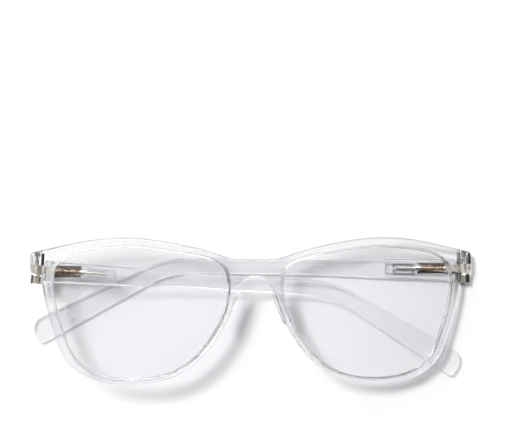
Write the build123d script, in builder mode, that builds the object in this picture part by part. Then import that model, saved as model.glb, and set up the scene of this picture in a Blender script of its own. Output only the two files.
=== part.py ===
from build123d import *
import os
from math import cos, radians, sin, tan

os.makedirs("parts", exist_ok=True)

# Clear reading glasses with spring hinges, folded, lying face up on the left temple.
# Part frame: +Z up from the table, +X towards the wearer's left, +Y towards the brow.
# The origin is on the outer face of the left temple, below the middle of the bridge.

# ---- front: boxing sizes, in the front's own plane (y is 0 on the hinge centre line)
lens_width = 53.3
lens_height = 40.3
bridge_width = 17.2          # between the lens openings
lens_top = 7.4               # top of the openings above the hinge line
rim_brow = 3.1
rim_foot = 1.9
rim_nose = 2.3
rim_side = 3.4
bridge_top = 3.8
bridge_flat = 9.6            # straight length of the bridge's top edge
bridge_depth = 5.5           # from the bridge's top edge to the crown of the nose arch
arch_side = 5.4              # where the nose arch runs into the rims, below the hinge line
arch_inset = 3.2             # and how far inside the narrowest place of the nasal rims
brow_dip = 0.55              # how far the brow is drawn down where it meets the bridge
end_reach = 3.7              # how far the end pieces stand out from the rims
end_top = 5.8                # outer corner of the end piece
end_foot = -1.0
end_slope = 0.6              # fall of the end piece's foot towards the rim
end_step = 3.3               # how far the rim stands in from the end piece's edge
end_corner = 1.5             # corner radius
front_radius = 280.0         # radius of the front's spherical curve
front_thickness = 4.0
front_edge = 0.65            # rounding of the front's edges
brow_fall = 0.2              # slope of the brow's outer end
step_lean = 0.1              # slope of the rim below the end piece, from the vertical
lens_thickness = 2.0
groove_depth = 0.7
groove_clearance = 0.05
pad_length = 11.0            # moulded nose pads
pad_width = 2.7
pad_height = 3.6
pad_root = 0.8               # how far the pads reach into the front
pad_draft = 8.0
pad_rise = 3.6               # pad centre above the narrowest place of the nasal rim
pad_lean = 23.0              # slope of the pads from the vertical

# ---- hinge, around its pivot axis
hinge_inset = 2.35           # from the end piece's outer edge to the pivot axis
hinge_gap = 2.15             # from the back of the front to the pivot axis
lug_radius = 2.0
upper_lug = (1.95, 5.6)      # along the axis
lower_lug = (-3.8, -1.1)
lug_base = 2.0               # how far the lugs reach into the front's thickness
web_overlap = 0.1            # how far the web between the lugs runs over into the front's back
run_out = 0.5                # what cuts and webs run past the face they must cross
screw_radius = 0.7
screw_head_radius = 1.2
screw_head_height = 1.1
screw_slot = 0.35
screw_recess = 0.3           # from the foot of the lower lug to the screw's end
hole_clearance = 0.05        # radial, on the screw
insert_radius = 1.15
thread_clearance = 0.02
eye_radius = 1.75
eye_gap = 0.15               # between the eye and each lug

# ---- spring unit in the temple, measured along it from the pivot axis
rod_height = 0.45            # rod axis above the hinge line
shank_height = 2.0
shank_depth = 1.5
shank_clearance = 0.08
rod_radius = 0.4
rod_end = 21.0
pocket_start = 5.2
pocket_end = 15.6
pocket_height = 3.3
pocket_floor = -1.5          # depth of the pocket's floor behind the rod axis
channel_end = 24.3
channel_height = 3.1
channel_depth = 2.6
plug_length = 6.2
plug_clearance = 0.05
seat_length = 0.5
seat_radius = 1.25
collar_start = 13.4
collar_length = 1.1
collar_radius = 1.2
spring_radius = 1.1          # outside
wire_radius = 0.22
spring_turns = 12
spring_play = 0.05           # at each end of the spring

# ---- temples
temple_start = 2.3           # from the pivot axis to the temple's end face
temple_inner = 1.35          # faces on each side of the pivot axis
temple_outer = 2.35
temple_butt = 3.4            # half heights
temple_shoulder = 3.05
temple_mid = 2.3
temple_tip = 3.85
butt_corner = 0.9
taper_radius = 120.0
butt_end = 24.0
taper_end = 45.0
bend_start = 85.0
bend_radius = 30.0
bend_angle = 28.0
tip_length = 39.6            # straight part after the bend
tip_upper_corner = 4.0
tip_lower_corner = 1.5
temple_edge = 0.8

# ---- how the two temples lie folded
droop = {"right": 3.6, "left": -0.9}       # pivot axes out of square, tips down
rest_fold = {"right": -0.2, "left": 6.6}   # from the front's plane
outward = {"right": -1, "left": 1}         # direction of the side along the front's X

half_width = bridge_width / 2 + lens_width + rim_side + end_reach
hinge_x = half_width - hinge_inset
lens_center = (bridge_width / 2 + lens_width / 2, lens_top - lens_height / 2)
front_mid = lens_center[1]
hinge_distance = (hinge_x ** 2 + front_mid ** 2) ** 0.5
back_radius = front_radius - front_thickness / 2
hinge_z = (back_radius ** 2 - hinge_distance ** 2) ** 0.5 - front_radius - hinge_gap


def lean_about_left_pivot():
    """Turns the front by the left temple's fold, so that this temple lies level."""
    turn = Location((0, 0, 0), (0, 0, droop["left"]))
    back = Location((0, 0, 0), (0, 0, -droop["left"]))
    return turn * Location((0, 0, 0), (0, rest_fold["left"], 0)) * back


lean = lean_about_left_pivot()
left_pivot = (lean * Location((hinge_x, 0, hinge_z))).position
bridge_y = -hinge_x * sin(radians(-droop["left"]))
front_plane = Plane(Location((0, bridge_y, temple_outer - left_pivot.Z)) * lean)
curve_center = front_plane.location * Location((0, front_mid, -front_radius), (90, 0, 0))
blank = front_radius / 10    # half height of the front's and lenses' blanks, before they are curved


def place(x, y, z):
    return front_plane.from_local_coords(Vector(x, y, z))


def along(x, y, z):
    return place(x, y, z) - place(0, 0, 0)


class Pivot:
    """Directions at one hinge: u along the temple, v along the axis, w towards the front."""

    def __init__(self, side, fold):
        tilt = radians(droop[side])
        out = outward[side]
        turn = radians(fold)
        flat = along(-out * cos(tilt), -sin(tilt), 0)
        normal = along(0, 0, 1)
        self.side = out
        self.origin = place(out * hinge_x, 0, hinge_z)
        self.u = flat * cos(turn) - normal * sin(turn)
        self.v = along(-out * sin(tilt), cos(tilt), 0) if out > 0 else along(sin(tilt), cos(tilt), 0)
        self.w = flat * sin(turn) + normal * cos(turn)

    def face(self, height):
        """Plane along the temple, at a height towards the front; extrude by -side to go up."""
        return Plane(self.origin + self.w * height, x_dir=self.u, z_dir=self.w * -self.side)

    def level(self, height):
        """Plane across the pivot axis at a height along it; its y is side times w."""
        return Plane(self.origin + self.v * height, x_dir=self.u, z_dir=self.v)

    def station(self, distance, height):
        """Plane across the temple at a distance from the axis."""
        return Plane(self.origin + self.u * distance + self.v * height, x_dir=self.v, z_dir=self.u)


# ---- outlines

# one lens outline, as shares of half its box, from the nose round under the eye to the brow
lens_shape = [
    (-1.0, 0.479), (-0.921, -0.102), (-0.794, -0.39), (-0.595, -0.697), (-0.37, -0.886),
    (0.137, -1.0), (0.583, -0.871), (0.764, -0.663), (0.861, -0.37), (0.97, 0.112), (1.0, 0.45),
    (0.955, 0.73), (0.8, 0.885), (0.5, 0.965), (0.103, 1.0), (-0.43, 0.911), (-0.827, 0.797),
    (-0.962, 0.67),
]


def on_box(shape, nose, side, foot, brow):
    """Points of a unit outline on the lens opening's box, grown by a margin on each side."""
    width = lens_width + nose + side
    height = lens_height + foot + brow
    x = lens_center[0] + (side - nose) / 2
    y = lens_center[1] + (brow - foot) / 2
    return [(x + u * width / 2, y + v * height / 2) for u, v in shape]


def lens_outline(margin):
    return on_box(lens_shape, margin, margin, margin, margin)


rim = on_box(lens_shape, rim_nose, rim_side, rim_foot, rim_brow)
rim_under = rim[10:0:-1]     # from the end piece down round the foot to the nose
rim_over = [rim[15], rim[14], rim[13]]      # brow, from the nose outwards
brow_start = (rim[16][0], rim[16][1] - brow_dip)
brow_end = (half_width, end_top)
arch_crown = (0, bridge_top - bridge_depth)
arch_foot = (rim[1][0] - arch_inset, -arch_side)
nasal_middle = (Vector(*rim[1]) + Vector(*lens_outline(0)[1])) / 2


def shell(thickness):
    """Radii of two spheres about curve_center: the layer between them curves like the front."""
    return front_radius + thickness / 2, front_radius - thickness / 2


def edges_across(part, direction):
    """Edges that run across a direction, not along it."""
    return [edge for edge in part.edges() if abs((edge % 0.5).dot(direction)) < cos(radians(45))]


# ---- front frame
front_face, front_back = shell(front_thickness)
groove_face, groove_back = shell(lens_thickness + 2 * groove_clearance)
with BuildPart() as front_frame:
    with BuildSketch(front_plane):
        with BuildLine():
            top = Line((0, bridge_top), (bridge_flat / 2, bridge_top))
            brow = Spline([top @ 1, brow_start] + rim_over + [brow_end],
                          tangents=[(1, 0), (1, -brow_fall)])
            edge = Line(brow @ 1, (half_width, end_foot))
            step = Line(edge @ 1, (half_width - end_step, end_foot - end_slope))
            arch = TangentArc(arch_crown, arch_foot, tangent=(1, 0))
            Spline([step @ 1] + rim_under[1:] + [arch_foot], tangents=[(-step_lean, -1), -(arch % 1)])
            mirror(about=Plane.YZ)
        make_face()
        fillet(vertices().group_by(lambda corner: round(abs(corner.X), 3))[-1], end_corner)
        for sign in (-1, 1):
            with BuildLine():
                Spline([(sign * x, y) for x, y in lens_outline(0)], periodic=True)
            make_face(mode=Mode.SUBTRACT)
    extrude(amount=blank, both=True)
    with Locations(curve_center):
        Sphere(front_face, mode=Mode.INTERSECT)
        Sphere(front_back, mode=Mode.SUBTRACT)
    fillet(edges_across(front_frame, front_plane.z_dir), front_edge)

    # moulded nose pads on the back of the nasal rims
    for sign in (-1, 1):
        slope = radians(pad_lean)
        pad_x = nasal_middle.X - pad_rise * sin(slope)
        pad_y = nasal_middle.Y + pad_rise * cos(slope)
        pad_center = place(sign * pad_x, pad_y, pad_root - front_thickness / 2)
        pad_plane = Plane(pad_center, x_dir=along(sign * sin(slope), -cos(slope), 0),
                          z_dir=-front_plane.z_dir)
        with BuildSketch(pad_plane):
            SlotOverall(pad_length, pad_width)
        extrude(amount=pad_height + pad_root, taper=pad_draft)

    # hinge lugs: round knuckles below the end pieces, carried by the end pieces and rims
    for side in outward:
        pivot = Pivot(side, 0)
        base = hinge_gap + lug_base
        for low, high in (upper_lug, lower_lug):
            with BuildSketch(pivot.level(low)):
                Circle(lug_radius)
                with Locations((0, outward[side] * base / 2)):
                    Rectangle(2 * lug_radius, base)
            extrude(amount=high - low)
        with BuildSketch(pivot.level(lower_lug[0])):      # web joining the lugs behind the eye
            with Locations((0, outward[side] * (hinge_gap + base - web_overlap) / 2)):
                Rectangle(2 * lug_radius, lug_base + web_overlap)
        extrude(amount=upper_lug[0] - lower_lug[0] + run_out)

        # screw hole with a counterbore for the head, and the seat of the thread insert
        with Locations(pivot.level(upper_lug[1]).location):
            CounterBoreHole(screw_radius + hole_clearance, screw_head_radius + hole_clearance,
                            screw_head_height, upper_lug[1] - lower_lug[1] + run_out)
        with BuildSketch(pivot.level(lower_lug[0])):
            Circle(insert_radius)
        extrude(amount=lower_lug[1] - lower_lug[0], mode=Mode.SUBTRACT)

    # grooves that hold the lenses
    for sign in (-1, 1):
        with BuildPart(mode=Mode.PRIVATE) as groove:
            with BuildSketch(front_plane):
                with BuildLine():
                    Spline([(sign * x, y) for x, y in lens_outline(groove_depth + groove_clearance)],
                           periodic=True)
                make_face()
            extrude(amount=blank, both=True)
            with Locations(curve_center):
                Sphere(groove_face, mode=Mode.INTERSECT)
                Sphere(groove_back, mode=Mode.SUBTRACT)
        add(groove.part, mode=Mode.SUBTRACT)
front_frame.part.label = "front_frame"
export_step(front_frame.part, "parts/front_frame.step")

# ---- lenses
lens_face, lens_back = shell(lens_thickness)
for side, sign in outward.items():
    with BuildPart() as lens:
        with BuildSketch(front_plane):
            with BuildLine():
                Spline([(sign * x, y) for x, y in lens_outline(groove_depth)], periodic=True)
            make_face()
        extrude(amount=blank, both=True)
        with Locations(curve_center):
            Sphere(lens_face, mode=Mode.INTERSECT)
            Sphere(lens_back, mode=Mode.SUBTRACT)
    lens.part.label = side + "_lens"
    export_step(lens.part, "parts/" + side + "_lens.step")


# ---- temple outline, in its own plane: x from the pivot axis, y along the axis
bend = radians(bend_angle)
bend_corner = Vector(bend_start + bend_radius * tan(bend / 2), 0)
bend_side = Vector(sin(bend / 2), cos(bend / 2)) * (temple_mid / cos(bend / 2))
tip_run = Vector(cos(bend), -sin(bend))
tip_up = Vector(sin(bend), cos(bend))
tip_center = bend_corner + tip_run * (bend_radius * tan(bend / 2) + tip_length)

# corners of the upper edge from hinge to tip, each with the radius of its rounding, then the lower
temple_corners = [
    ((temple_start, temple_butt), butt_corner),
    ((butt_end, temple_shoulder), taper_radius),
    ((taper_end, temple_mid), taper_radius),
    (bend_corner + bend_side, bend_radius),
    (tip_center + tip_up * temple_tip, tip_upper_corner),
    (tip_center - tip_up * temple_tip, tip_lower_corner),
    (bend_corner - bend_side, bend_radius),
    ((taper_end, -temple_mid), taper_radius),
    ((butt_end, -temple_shoulder), taper_radius),
    ((temple_start, -temple_butt), butt_corner),
]


for side, out in outward.items():
    fixed = Pivot(side, 0)
    pivot = Pivot(side, rest_fold[side])
    rise = -out              # sketches on pivot.face() are extruded by rise * depth

    # screw and thread insert, in the front's lugs
    with BuildPart() as screw:
        with BuildSketch(fixed.level(lower_lug[0] + screw_recess)):
            Circle(screw_radius)
        extrude(amount=upper_lug[1] - screw_head_height - lower_lug[0] - screw_recess)
        with BuildSketch(fixed.level(upper_lug[1] - screw_head_height)):
            Circle(screw_head_radius)
        extrude(amount=screw_head_height)
        with BuildSketch(fixed.level(upper_lug[1])):
            Rectangle(3 * screw_head_radius, screw_slot)
        extrude(amount=-screw_head_height / 2, mode=Mode.SUBTRACT)
    screw.part.label = side + "_hinge_screw"
    export_step(screw.part, "parts/" + side + "_hinge_screw.step")

    with BuildPart() as insert:
        with BuildSketch(fixed.level(lower_lug[0])):
            Circle(insert_radius)
            Circle(screw_radius + thread_clearance, mode=Mode.SUBTRACT)
        extrude(amount=lower_lug[1] - lower_lug[0])
    insert.part.label = side + "_thread_insert"
    export_step(insert.part, "parts/" + side + "_thread_insert.step")

    # hook: eye on the screw, flat shank, round rod
    eye_low = lower_lug[1] + eye_gap
    eye_high = upper_lug[0] - eye_gap
    with BuildPart() as hook:
        with BuildSketch(pivot.level(eye_low)):
            Circle(eye_radius)
        extrude(amount=eye_high - eye_low)
        with BuildSketch(pivot.station(0, rod_height)):
            Rectangle(shank_height, shank_depth)
        extrude(amount=pocket_start)
        with BuildSketch(pivot.station(pocket_start, rod_height)):
            Circle(rod_radius)
        extrude(amount=rod_end - pocket_start)
        with BuildSketch(pivot.level(eye_low)):
            Circle(screw_radius + hole_clearance)
        extrude(amount=eye_high - eye_low, mode=Mode.SUBTRACT)
    hook.part.label = side + "_hinge_hook"
    export_step(hook.part, "parts/" + side + "_hinge_hook.step")

    # temple
    with BuildPart() as temple:
        with BuildSketch(pivot.face(-temple_outer)):
            with BuildLine():
                FilletPolyline([point for point, radius in temple_corners],
                               radius=[radius for point, radius in temple_corners], close=True)
            make_face()
        extrude(amount=rise * (temple_outer + temple_inner))
        fillet(edges_across(temple, pivot.w), temple_edge)

        # pocket for the spring, open on the inner face
        with BuildSketch(pivot.face(pocket_floor)):
            with Locations(((pocket_start + pocket_end) / 2, rod_height)):
                Rectangle(pocket_end - pocket_start, pocket_height)
        extrude(amount=rise * (temple_inner - pocket_floor), mode=Mode.SUBTRACT)
        # slot for the shank, through the temple's end
        with BuildSketch(pivot.station(0, rod_height)):
            Rectangle(shank_height + 2 * shank_clearance, shank_depth + 2 * shank_clearance)
        extrude(amount=pocket_start, mode=Mode.SUBTRACT)
        # blind channel for the rod's end and the plug
        with BuildSketch(pivot.station(pocket_end, rod_height)):
            Rectangle(channel_height, channel_depth)
        extrude(amount=channel_end - pocket_end, mode=Mode.SUBTRACT)
    temple.part.label = side + "_temple"
    export_step(temple.part, "parts/" + side + "_temple.step")

    with BuildPart() as plug:
        with BuildSketch(pivot.station(pocket_end, rod_height)):
            Rectangle(channel_height - 2 * plug_clearance, channel_depth - 2 * plug_clearance)
            Circle(rod_radius + hole_clearance, mode=Mode.SUBTRACT)
        extrude(amount=plug_length)
    plug.part.label = side + "_pocket_plug"
    export_step(plug.part, "parts/" + side + "_pocket_plug.step")

    # spring unit on the rod
    with BuildPart() as seat:
        with BuildSketch(pivot.station(pocket_start, rod_height)):
            Circle(seat_radius)
            Circle(rod_radius + hole_clearance, mode=Mode.SUBTRACT)
        extrude(amount=seat_length)
    seat.part.label = side + "_spring_seat"
    export_step(seat.part, "parts/" + side + "_spring_seat.step")

    with BuildPart() as collar:
        with BuildSketch(pivot.station(collar_start, rod_height)):
            Circle(collar_radius)
            Circle(rod_radius, mode=Mode.SUBTRACT)
        extrude(amount=collar_length)
    collar.part.label = side + "_rod_collar"
    export_step(collar.part, "parts/" + side + "_rod_collar.step")

    first_turn = pocket_start + seat_length + wire_radius + spring_play
    coil_length = collar_start - wire_radius - spring_play - first_turn
    coil_radius = spring_radius - wire_radius
    with BuildPart() as spring:
        with BuildLine():
            coil = Helix(coil_length / spring_turns, coil_length, coil_radius,
                         center=pivot.station(first_turn, rod_height).origin, direction=pivot.u)
        with BuildSketch(Plane(coil @ 0, z_dir=coil % 0)):
            Circle(wire_radius)
        sweep(is_frenet=True)
    spring.part.label = side + "_spring"
    export_step(spring.part, "parts/" + side + "_spring.step")
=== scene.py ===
import bpy
import numpy as np
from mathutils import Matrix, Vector


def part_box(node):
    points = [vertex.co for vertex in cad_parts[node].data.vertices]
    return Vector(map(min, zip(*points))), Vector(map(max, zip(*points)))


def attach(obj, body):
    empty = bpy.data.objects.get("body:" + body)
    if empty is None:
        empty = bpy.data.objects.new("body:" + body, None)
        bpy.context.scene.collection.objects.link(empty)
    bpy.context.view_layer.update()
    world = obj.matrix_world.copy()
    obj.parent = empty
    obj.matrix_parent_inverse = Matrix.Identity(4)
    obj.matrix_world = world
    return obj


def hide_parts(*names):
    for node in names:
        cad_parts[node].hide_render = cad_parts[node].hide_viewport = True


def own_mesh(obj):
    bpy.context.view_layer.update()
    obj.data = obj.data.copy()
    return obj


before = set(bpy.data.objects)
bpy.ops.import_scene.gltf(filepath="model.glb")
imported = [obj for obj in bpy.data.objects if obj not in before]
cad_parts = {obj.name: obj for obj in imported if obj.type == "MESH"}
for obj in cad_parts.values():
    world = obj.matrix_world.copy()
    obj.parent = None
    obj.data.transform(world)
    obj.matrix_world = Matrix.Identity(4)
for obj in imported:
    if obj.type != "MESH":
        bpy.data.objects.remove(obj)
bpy.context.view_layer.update()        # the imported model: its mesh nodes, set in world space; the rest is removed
sides = ("left", "right")
print("frame loaded:", len(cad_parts), "nodes")


# shared effects, each a node group that reads a point of the surface

def newGroup(name, amounts, outputs):
    group = bpy.data.node_groups.new(name, "ShaderNodeTree")
    group.interface.new_socket("Point", in_out="INPUT", socket_type="NodeSocketVector")
    for label, amount in amounts.items():
        socket = group.interface.new_socket(label, in_out="INPUT", socket_type="NodeSocketFloat")
        socket.default_value = amount
    for label in outputs:
        group.interface.new_socket(label, in_out="OUTPUT", socket_type="NodeSocketFloat")
    return group, group.nodes.new("NodeGroupInput"), group.nodes.new("NodeGroupOutput")


def put(tree, kind, **settings):
    node = tree.nodes.new("ShaderNode" + kind)
    for label, value in settings.items():
        setattr(node, label, value)
    return node


def feed(tree, node, values):
    # a socket's value is a plain number or colour, or the output that drives it
    for label, value in values.items():
        if isinstance(value, bpy.types.NodeSocket):
            tree.links.new(value, node.inputs[label])
        else:
            node.inputs[label].default_value = value
    return node


def sums(tree, operation, first, second=0.0):
    node = put(tree, "Math", operation=operation)
    feed(tree, node, {0: first, 1: second})
    return node.outputs[0]


def noise(tree, point, scale, detail=2.0, distortion=0.0):
    node = put(tree, "TexNoise")
    feed(tree, node, {"Vector": point, "Scale": scale, "Detail": detail, "Distortion": distortion})
    return node.outputs["Fac"]


def band(tree, value, low, high):
    # 0 below low, 1 above high, smooth between them
    node = put(tree, "MapRange", interpolation_type="SMOOTHSTEP")
    feed(tree, node, {"Value": value, "From Min": low, "From Max": high})
    return node.outputs["Result"]


hairlineLook = {
    "scale": 260.0,
    "stretch": 14.0,
    "width": 0.012,
    "turns": (0.5, 1.9, 2.6),
    "tilt": (0.3, 0.2),
    "patches": 4,            # how much coarser the noise is that breaks the lines up
    "thinned": 0.95,         # level of that noise which a density of 0 leaves
    "whole": 0.9,            # level above which the lines are unbroken
}


def hairlineGroup():
    # level lines of a long stretched noise, in three directions, broken up by a coarser noise
    group, start, end = newGroup("hairlines", {"Density": 0.5}, ("Mask",))
    total = None
    for turn in hairlineLook["turns"]:
        mapping = put(group, "Mapping")
        feed(group, mapping, {"Vector": start.outputs["Point"], "Rotation": (*hairlineLook["tilt"], turn),
                              "Scale": (1.0, hairlineLook["stretch"], 1.0)})
        level = noise(group, mapping.outputs["Vector"], hairlineLook["scale"], 1.0)
        away = sums(group, "ABSOLUTE", sums(group, "SUBTRACT", level, 0.5))
        line = band(group, away, hairlineLook["width"], 0.0)
        patch = noise(group, mapping.outputs["Vector"], hairlineLook["scale"] / hairlineLook["patches"], 2.0, turn)
        lowest = sums(group, "SUBTRACT", hairlineLook["thinned"], start.outputs["Density"])
        kept = band(group, patch, lowest, hairlineLook["whole"])
        shown = sums(group, "MULTIPLY", line, kept)
        total = shown if total is None else sums(group, "MAXIMUM", total, shown)
    feed(group, end, {"Mask": total})
    return group


flowLook = {"bend": 0.6, "finer": 9.0}


def flowGroup():
    # the slow swell of a moulded and tumbled surface, with a finer orange peel over it
    group, start, end = newGroup("mould flow", {"Scale": 90.0, "Peel": 0.25}, ("Height", "Cloud"))
    swell = noise(group, start.outputs["Point"], start.outputs["Scale"], 1.0, flowLook["bend"])
    fine = sums(group, "MULTIPLY", start.outputs["Scale"], flowLook["finer"])
    peel = noise(group, start.outputs["Point"], fine)
    height = sums(group, "ADD", swell, sums(group, "MULTIPLY", peel, start.outputs["Peel"]))
    feed(group, end, {"Height": height, "Cloud": swell})
    return group


speckCore = 0.02             # solid middle of a speck, in cells


def speckGroup():
    # dust: a small round dot in a few of the cells of a cell pattern
    group, start, end = newGroup("specks", {"Scale": 900.0, "Share": 0.1, "Size": 0.12}, ("Mask",))
    cells = put(group, "TexVoronoi", feature="F1")
    feed(group, cells, {"Vector": start.outputs["Point"], "Scale": start.outputs["Scale"]})
    parts = put(group, "SeparateColor")
    feed(group, parts, {"Color": cells.outputs["Color"]})
    chosen = sums(group, "LESS_THAN", parts.outputs["Red"], start.outputs["Share"])
    dot = band(group, cells.outputs["Distance"], start.outputs["Size"], speckCore)
    feed(group, end, {"Mask": sums(group, "MULTIPLY", dot, chosen)})
    return group


ringShare = 0.2              # height of the lathe's rings beside that of the flutes


def turnedGroup():
    # what a lathe leaves on a piece whose axis is the point's Z: fine rings, and flutes round it
    group, start, end = newGroup("turned", {"Rings": 9000.0, "Flutes": 0.0}, ("Height",))
    parts = put(group, "SeparateXYZ")
    feed(group, parts, {"Vector": start.outputs["Point"]})
    x, y, z = (parts.outputs[axis] for axis in "XYZ")
    across = sums(group, "SQRT", sums(group, "ADD", sums(group, "MULTIPLY", x, x),
                                      sums(group, "MULTIPLY", y, y)))
    reach = sums(group, "ADD", across, z)
    rings = sums(group, "SINE", sums(group, "MULTIPLY", reach, start.outputs["Rings"]))
    around = sums(group, "ARCTAN2", y, x)
    flutes = sums(group, "SINE", sums(group, "MULTIPLY", around, start.outputs["Flutes"]))
    height = sums(group, "ADD", sums(group, "MULTIPLY", rings, ringShare), flutes)
    feed(group, end, {"Height": height})
    return group


grainLook = {"bend": 0.4, "tarnished": (0.42, 0.7)}


def grainGroup():
    # drawn or stamped metal: a fine grain, and slow clouds of tarnish
    group, start, end = newGroup("metal grain", {"Fine": 5200.0, "Slow": 700.0}, ("Grain", "Tarnish"))
    grain = noise(group, start.outputs["Point"], start.outputs["Fine"], 3.0)
    clouds = noise(group, start.outputs["Point"], start.outputs["Slow"], 3.0, grainLook["bend"])
    feed(group, end, {"Grain": grain, "Tarnish": band(group, clouds, *grainLook["tarnished"])})
    return group


effects = {
    "hairlines": hairlineGroup(),
    "flow": flowGroup(),
    "specks": speckGroup(),
    "turned": turnedGroup(),
    "grain": grainGroup(),
}
print("effects built:", len(effects))


# finishes

def newFinish(name):
    material = bpy.data.materials.new(name)
    material.use_nodes = True
    tree = material.node_tree
    tree.nodes.clear()
    end = put(tree, "OutputMaterial")
    return material, tree, end, put(tree, "TexCoord").outputs["Object"]


def effect(tree, name, point, **amounts):
    node = put(tree, "Group", node_tree=effects[name])
    feed(tree, node, {"Point": point})
    feed(tree, node, {label.capitalize(): amount for label, amount in amounts.items()})
    return node.outputs


quarterTurn = np.pi / 2


def centred(tree, point, node):
    # the point measured from the middle of a piece, with Z laid along Y, the way the hinge pins lie
    low, high = (Vector(corner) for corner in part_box(node))
    mapping = put(tree, "Mapping", vector_type="TEXTURE")
    feed(tree, mapping, {"Vector": point, "Location": (low + high) / 2,
                         "Rotation": (-quarterTurn, 0.0, 0.0)})
    return mapping.outputs["Vector"]


def bumped(tree, height, depth):
    node = put(tree, "Bump")
    feed(tree, node, {"Height": height, "Distance": depth})
    return node.outputs["Normal"]


def blended(tree, mask, first, second):
    node = put(tree, "Mix", data_type="RGBA")
    feed(tree, node, {0: mask, 6: first, 7: second})
    return node.outputs[2]


frameLook = {
    "tint": (0.955, 0.958, 0.964, 1.0),
    "cloud": (0.925, 0.929, 0.937, 1.0),
    # painted shade: a dark outline colour for the edges that turn from the eye
    "rim": (0.3, 0.305, 0.32, 1.0),
    "shade": (0.985, 0.986, 0.989, 1.0),
    "edge": (0.2, 0.202, 0.21, 1.0),
    "ior": 1.49,
    "polish": 0.012,
    "scratched": 0.22,
    "hairlines": 0.42,
    "specks": 0.06,
    "flow": 70.0,
    "peel": 0.04,
    "swell": 0.000012,
    "clouded": (0.45, 0.75),     # levels of the flow between clear and clouded
    "rimSlope": (0.35, 0.85),    # slopes away from the eye between which the painted dark outline comes in
    "edgeSlope": (0.1, 0.8),     # and the shadow's edge colour
}
# the temples also carry a painted shade: dark brown on the walls of the spring pocket
templeLook = dict(frameLook, tint=(0.985, 0.987, 0.99, 1.0), cloud=(0.965, 0.968, 0.974, 1.0),
                  shade=(0.993, 0.994, 0.996, 1.0), edge=(0.5, 0.505, 0.515, 1.0),
                  rim=(0.28, 0.285, 0.3, 1.0), flow=55.0, pocketShade=(0.05, 0.036, 0.03, 1.0),
                  pocketShadeSpread=0.0005)
plugLook = dict(frameLook, shade=(0.975, 0.977, 0.981, 1.0), polish=0.03, flow=200.0, swell=0.00002)
lensLook = dict(frameLook, tint=(0.985, 0.987, 0.99, 1.0), cloud=(0.98, 0.983, 0.988, 1.0),
                shade=(0.955, 0.956, 0.962, 1.0), polish=0.0, scratched=0.08, flow=25.0,
                swell=0.000001)


def within(tree, point, low, high):
    # 1 between two opposite corners of a box, 0 outside it
    middle = (low + high) / 2
    offset = put(tree, "VectorMath", operation="SUBTRACT")
    feed(tree, offset, {0: point, 1: middle})
    size = put(tree, "VectorMath", operation="ABSOLUTE")
    feed(tree, size, {0: offset.outputs[0]})
    parts = feed(tree, put(tree, "SeparateXYZ"), {"Vector": size.outputs[0]})
    inside = 1.0
    for axis, half in zip("XYZ", (high - low) / 2):
        inside = sums(tree, "MULTIPLY", inside, sums(tree, "LESS_THAN", parts.outputs[axis], half))
    return inside


def pocketShadeMask(tree, point, side, spread):
    # painted shade: a dark brown box round the spring that colours the walls of its pocket
    low, high = (Vector(corner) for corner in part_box(side + "_spring"))
    margin = Vector((spread, spread, spread))
    return within(tree, point, low - margin, high + margin)


def clearPlastic(name, look, side=None):
    # moulded plastic: clear, faintly clouded, with hairlines and dust; its shadow is a soft tint; painted shade
    # darkens its outline where it turns from the eye, and the pocket walls round a temple's spring
    material, tree, end, point = newFinish(name)
    flow = effect(tree, "flow", point, scale=look["flow"], peel=look["peel"])
    lines = effect(tree, "hairlines", point, density=look["hairlines"])
    specks = effect(tree, "specks", point, share=look["specks"])
    marks = sums(tree, "MAXIMUM", lines["Mask"], specks["Mask"])
    roughness = sums(tree, "ADD", sums(tree, "MULTIPLY", marks, look["scratched"]), look["polish"])
    slope = feed(tree, put(tree, "LayerWeight"), {"Blend": 0.5}).outputs["Facing"]
    colour = blended(tree, band(tree, flow["Cloud"], *look["clouded"]), look["tint"], look["cloud"])
    # painted shade: the colour darkens to a dark outline where the surface turns from the eye
    colour = blended(tree, band(tree, slope, *look["rimSlope"]), colour, look["rim"])
    if side:
        # painted shade: the pocket walls round the spring turn dark brown
        pocketShading = pocketShadeMask(tree, point, side, look["pocketShadeSpread"])
        colour = blended(tree, pocketShading, colour, look["pocketShade"])
    plastic = put(tree, "BsdfPrincipled")
    feed(tree, plastic, {
        "Base Color": colour,
        "Metallic": 0.0,
        "Roughness": roughness,
        "IOR": look["ior"],
        "Transmission Weight": 1.0,
        "Normal": bumped(tree, flow["Height"], look["swell"]),
    })
    through = put(tree, "BsdfTransparent")
    steep = band(tree, slope, *look["edgeSlope"])
    feed(tree, through, {"Color": blended(tree, steep, look["shade"], look["edge"])})
    ray = put(tree, "LightPath").outputs
    lighting = sums(tree, "MAXIMUM", ray["Is Shadow Ray"], ray["Is Diffuse Ray"])
    mix = feed(tree, put(tree, "MixShader"), {0: lighting, 1: plastic.outputs[0], 2: through.outputs[0]})
    feed(tree, end, {"Surface": mix.outputs[0]})
    return material


steelLook = {
    "bright": (0.8, 0.79, 0.77, 1.0),
    "dull": (0.36, 0.335, 0.30, 1.0),
    "roughness": 0.2,
    "rings": 9000.0,
    "flutes": 0.0,
    "relief": 0.000004,
    "grainHeight": 0.6,
    "grainRoughness": 0.12,
    "tarnishRoughness": 0.2,
}
hookLook = dict(steelLook, bright=(0.82, 0.78, 0.7, 1.0), dull=(0.55, 0.5, 0.42, 1.0), roughness=0.3)
collarLook = dict(steelLook, bright=(0.86, 0.85, 0.82, 1.0), dull=(0.6, 0.58, 0.54, 1.0), roughness=0.18)
brassLook = dict(steelLook, bright=(0.86, 0.78, 0.6, 1.0), dull=(0.6, 0.5, 0.32, 1.0),
                 roughness=0.28, flutes=22.0, relief=0.00003)
springLook = dict(steelLook, bright=(0.82, 0.66, 0.53, 1.0), dull=(0.45, 0.3, 0.2, 1.0),
                  roughness=0.1, relief=0.000002)


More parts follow.
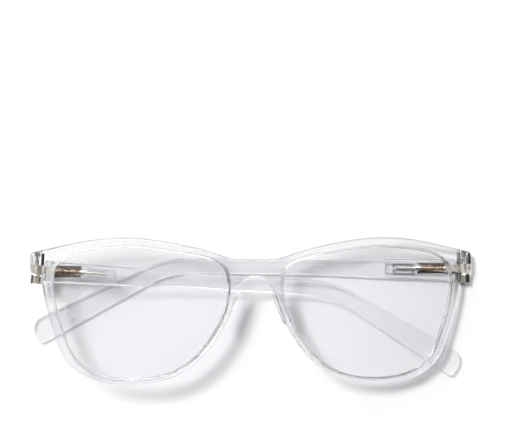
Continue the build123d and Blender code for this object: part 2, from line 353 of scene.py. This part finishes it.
def metal(name, look, node):
    # machined metal: rings or flutes about the hinge pins' direction, grain, and tarnish in clouds
    material, tree, end, point = newFinish(name)
    turned = effect(tree, "turned", centred(tree, point, node), rings=look["rings"],
                    flutes=look["flutes"])
    grain = effect(tree, "grain", point)
    dulled = sums(tree, "MULTIPLY", grain["Tarnish"], look["tarnishRoughness"])
    fine = sums(tree, "MULTIPLY", grain["Grain"], look["grainRoughness"])
    raised = sums(tree, "MULTIPLY", grain["Grain"], look["grainHeight"])
    height = sums(tree, "ADD", turned["Height"], raised)
    shader = put(tree, "BsdfPrincipled")
    feed(tree, shader, {
        "Base Color": blended(tree, grain["Tarnish"], look["bright"], look["dull"]),
        "Metallic": 1.0,
        "Roughness": sums(tree, "ADD", sums(tree, "ADD", dulled, fine), look["roughness"]),
        "Normal": bumped(tree, height, look["relief"]),
    })
    feed(tree, end, {"Surface": shader.outputs[0]})
    return material


def dress(node, material):
    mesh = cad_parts[node].data
    mesh.materials.clear()
    mesh.materials.append(material)


dress("front_frame", clearPlastic("clear frame", frameLook))
plugPlastic = clearPlastic("clear plug", plugLook)
lensPlastic = clearPlastic("clear lens", lensLook)
metalPieces = {
    "_hinge_screw": steelLook,
    "_hinge_hook": hookLook,
    "_rod_collar": collarLook,
    "_spring_seat": collarLook,
    "_thread_insert": brassLook,
}
for side in sides:
    dress(side + "_temple", clearPlastic("clear " + side + " temple", templeLook, side))
    dress(side + "_pocket_plug", plugPlastic)
    dress(side + "_lens", lensPlastic)
    for piece, look in metalPieces.items():
        dress(side + piece, metal(side + piece.replace("_", " "), look, side + piece))
print("finishes given to the parts of the frame")


# springs: wire coils between the seat and the collar, carried by the hook

coil = {
    "outside": 0.0011,
    "wire": 0.00022,
    "turns": 12.0,
    "closed": 1.03,          # pitch of the end turns, in wire thicknesses
    "seat": 0.0005,          # thicknesses of the seat and the collar
    "collar": 0.0011,
    "play": 0.00005,
    "give": 0.0015,
    "steps": 30,             # along each turn
    "round": 14,             # round the wire
}


def middle(node):
    return np.mean([list(corner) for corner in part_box(node)], axis=0)


def ringTube(centres, outward, sideways, radius, count):
    # rings of points round each centre, joined to a tube, with a fan on each end
    turn = np.linspace(0, 2 * np.pi, count, endpoint=False)
    rings = (centres[:, None] + radius * np.cos(turn)[None, :, None] * outward[:, None]
             + radius * np.sin(turn)[None, :, None] * sideways[:, None])
    rows = len(centres)
    grid = np.arange(rows * count).reshape(rows, count)
    ahead = np.roll(grid, -1, axis=1)
    walls = np.stack([grid[:-1], ahead[:-1], ahead[1:], grid[1:]], axis=-1).reshape(-1, 4)
    first, last = rows * count, rows * count + 1
    fans = [(first, b, a) for a, b in zip(grid[0], ahead[0])]
    fans += [(last, a, b) for a, b in zip(grid[-1], ahead[-1])]
    points = np.vstack([rings.reshape(-1, 3), centres[:1], centres[-1:]])
    return points, walls.tolist() + [[int(i) for i in fan] for fan in fans]


def springMesh(side):
    # a helix about the rod: its rise is even, but its first and last turns lie closed
    seat, collar = middle(side + "_spring_seat"), middle(side + "_rod_collar")
    axis = collar - seat
    axis /= np.linalg.norm(axis)
    start = seat + axis * (coil["seat"] / 2 + coil["play"] + coil["wire"])
    end = collar - axis * (coil["collar"] / 2 + coil["play"] + coil["wire"])
    length = np.linalg.norm(end - start)
    turns, closed = coil["turns"], coil["closed"] * 2 * coil["wire"]
    turn = np.linspace(0, turns, int(turns * coil["steps"]) + 1)
    rise = np.interp(turn, [0, 1, turns - 1, turns], [0, closed, length - closed, length])
    east = np.cross(axis, (0.0, 1.0, 0.0))
    east /= np.linalg.norm(east)
    north = np.cross(axis, east)
    angle = 2 * np.pi * turn[:, None]
    outward = np.cos(angle) * east + np.sin(angle) * north
    around = np.cos(angle) * north - np.sin(angle) * east
    radius = coil["outside"] - coil["wire"]
    along = 2 * np.pi * radius * around + np.gradient(rise, turn)[:, None] * axis
    along /= np.linalg.norm(along, axis=1)[:, None]
    centres = start + radius * outward + rise[:, None] * axis
    points, faces = ringTube(centres, outward, np.cross(along, outward), coil["wire"], coil["round"])
    mesh = bpy.data.meshes.new(side + "_coil_spring")
    mesh.from_pydata(points.tolist(), [], faces)
    mesh.polygons.foreach_set("use_smooth", np.ones(len(mesh.polygons), bool))
    return mesh, axis, end, length + 2 * coil["wire"]


def coilSpring(side):
    mesh, axis, end, length = springMesh(side)
    mesh.materials.append(metal(side + " coil spring", springLook, side + "_spring"))
    spring = bpy.data.objects.new(mesh.name, mesh)
    bpy.context.scene.collection.objects.link(spring)
    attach(spring, side + "_hook")
    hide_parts(side + "_spring")
    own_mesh(spring)


for side in sides:
    coilSpring(side)
print("springs wound")


# table

tableLook = {
    "reach": 3.0,
    "drop": 0.00005,
    "colour": (0.93, 0.932, 0.94, 1.0),
    "roughness": 0.55,
    "peel": 700.0,
    "peelRoughness": 0.1,
    "peelDepth": 0.00001,
}


def tableTop():
    reach, drop = tableLook["reach"], tableLook["drop"]
    mesh = bpy.data.meshes.new("table")
    corners = [(x * reach, y * reach, -drop) for x, y in ((-1, -1), (1, -1), (1, 1), (-1, 1))]
    mesh.from_pydata(corners, [], [(0, 1, 2, 3)])
    table = bpy.data.objects.new("table", mesh)
    bpy.context.scene.collection.objects.link(table)
    material, tree, end, point = newFinish("table paint")
    peel = noise(tree, point, tableLook["peel"], 3.0)
    rough = sums(tree, "MULTIPLY", peel, tableLook["peelRoughness"])
    shader = put(tree, "BsdfPrincipled")
    feed(tree, shader, {"Base Color": tableLook["colour"],
                        "Roughness": sums(tree, "ADD", rough, tableLook["roughness"]),
                        "Normal": bumped(tree, peel, tableLook["peelDepth"])})
    feed(tree, end, {"Surface": shader.outputs[0]})
    mesh.materials.append(material)


tableTop()


# light from above, behind and to the left

lampLook = {
    "key": {"from": (-0.24, 0.24, 1.0), "spread": 0.2, "strength": 2.93},
    "sheen": {"from": (-0.2, 0.72, 1.3), "size": (1.5, 0.55), "power": 18.0},
}


def newLamp(name, kind, place):
    data = bpy.data.lights.new(name, kind)
    lamp = bpy.data.objects.new(name, data)
    bpy.context.scene.collection.objects.link(lamp)
    lamp.location = place
    lamp.rotation_euler = (-Vector(place)).to_track_quat("-Z", "Y").to_euler()
    return data, lamp


def keyLight():
    # a far, soft light that the plastic and the metal don't mirror
    look = lampLook["key"]
    data, lamp = newLamp("key", "SUN", look["from"])
    data.angle = look["spread"]
    data.energy = look["strength"]
    lamp.visible_glossy = lamp.visible_transmission = False


def sheenLight():
    # a broad panel that is only seen mirrored, as the white lines along the edges
    look = lampLook["sheen"]
    data, lamp = newLamp("sheen", "AREA", look["from"])
    data.shape = "RECTANGLE"
    data.size, data.size_y = look["size"]
    data.energy = look["power"]
    lamp.visible_diffuse = False


keyLight()
sheenLight()

# room: grey walls up to wallTop, above them a bright side behind and a dark side in front,
# and a dark ceiling; the camera itself sees a white backdrop

roomLook = {
    "backdrop": (0.96, 0.963, 0.97, 1.0),
    "wall": (0.42, 0.42, 0.43, 1.0),
    "behind": (0.9, 0.905, 0.92, 1.0),
    "before": (0.08, 0.08, 0.083, 1.0),
    "ceiling": (0.08, 0.08, 0.083, 1.0),
    "wallTop": (0.15, 0.3),
    "ceilingStart": (0.6, 0.85),
    "turn": (-0.25, 0.35),
    "slant": 0.5,            # how far the bright side reaches round to the left
    "bounces": 32,
}


def room():
    world = bpy.data.worlds.new("room")
    world.use_nodes = True
    tree = world.node_tree
    tree.nodes.clear()
    parts = put(tree, "SeparateXYZ")
    feed(tree, parts, {"Vector": put(tree, "TexCoord").outputs["Generated"]})
    back = sums(tree, "SUBTRACT", parts.outputs["Y"], sums(tree, "MULTIPLY", parts.outputs["X"], roomLook["slant"]))
    side = blended(tree, band(tree, back, *roomLook["turn"]), roomLook["before"], roomLook["behind"])
    above = blended(tree, band(tree, parts.outputs["Z"], *roomLook["wallTop"]), roomLook["wall"], side)
    whole = blended(tree, band(tree, parts.outputs["Z"], *roomLook["ceilingStart"]), above,
                    roomLook["ceiling"])
    seen = blended(tree, put(tree, "LightPath").outputs["Is Camera Ray"], whole, roomLook["backdrop"])
    sky = feed(tree, put(tree, "Background"), {"Color": seen})
    feed(tree, put(tree, "OutputWorld"), {"Surface": sky.outputs[0]})
    return world


scene = bpy.context.scene
scene.world = room()
scene.view_settings.view_transform = "Standard"
scene.cycles.max_bounces = roomLook["bounces"]
scene.cycles.transmission_bounces = roomLook["bounces"]
scene.cycles.transparent_max_bounces = roomLook["bounces"]

# camera, straight above the folded glasses

cameraLook = {"lens": 200.0, "sensor": 36.0, "width": 0.1613, "aim": (0.0014, 0.0178, 0.018)}

cameraData = bpy.data.cameras.new("camera")
cameraData.lens = cameraLook["lens"]
cameraData.sensor_width = cameraLook["sensor"]
camera = bpy.data.objects.new("camera", cameraData)
scene.collection.objects.link(camera)
scene.camera = camera
distance = cameraLook["width"] * cameraLook["lens"] / cameraLook["sensor"]
camera.location = Vector(cameraLook["aim"]) + Vector((0, 0, distance))
print("table, lights and camera placed")
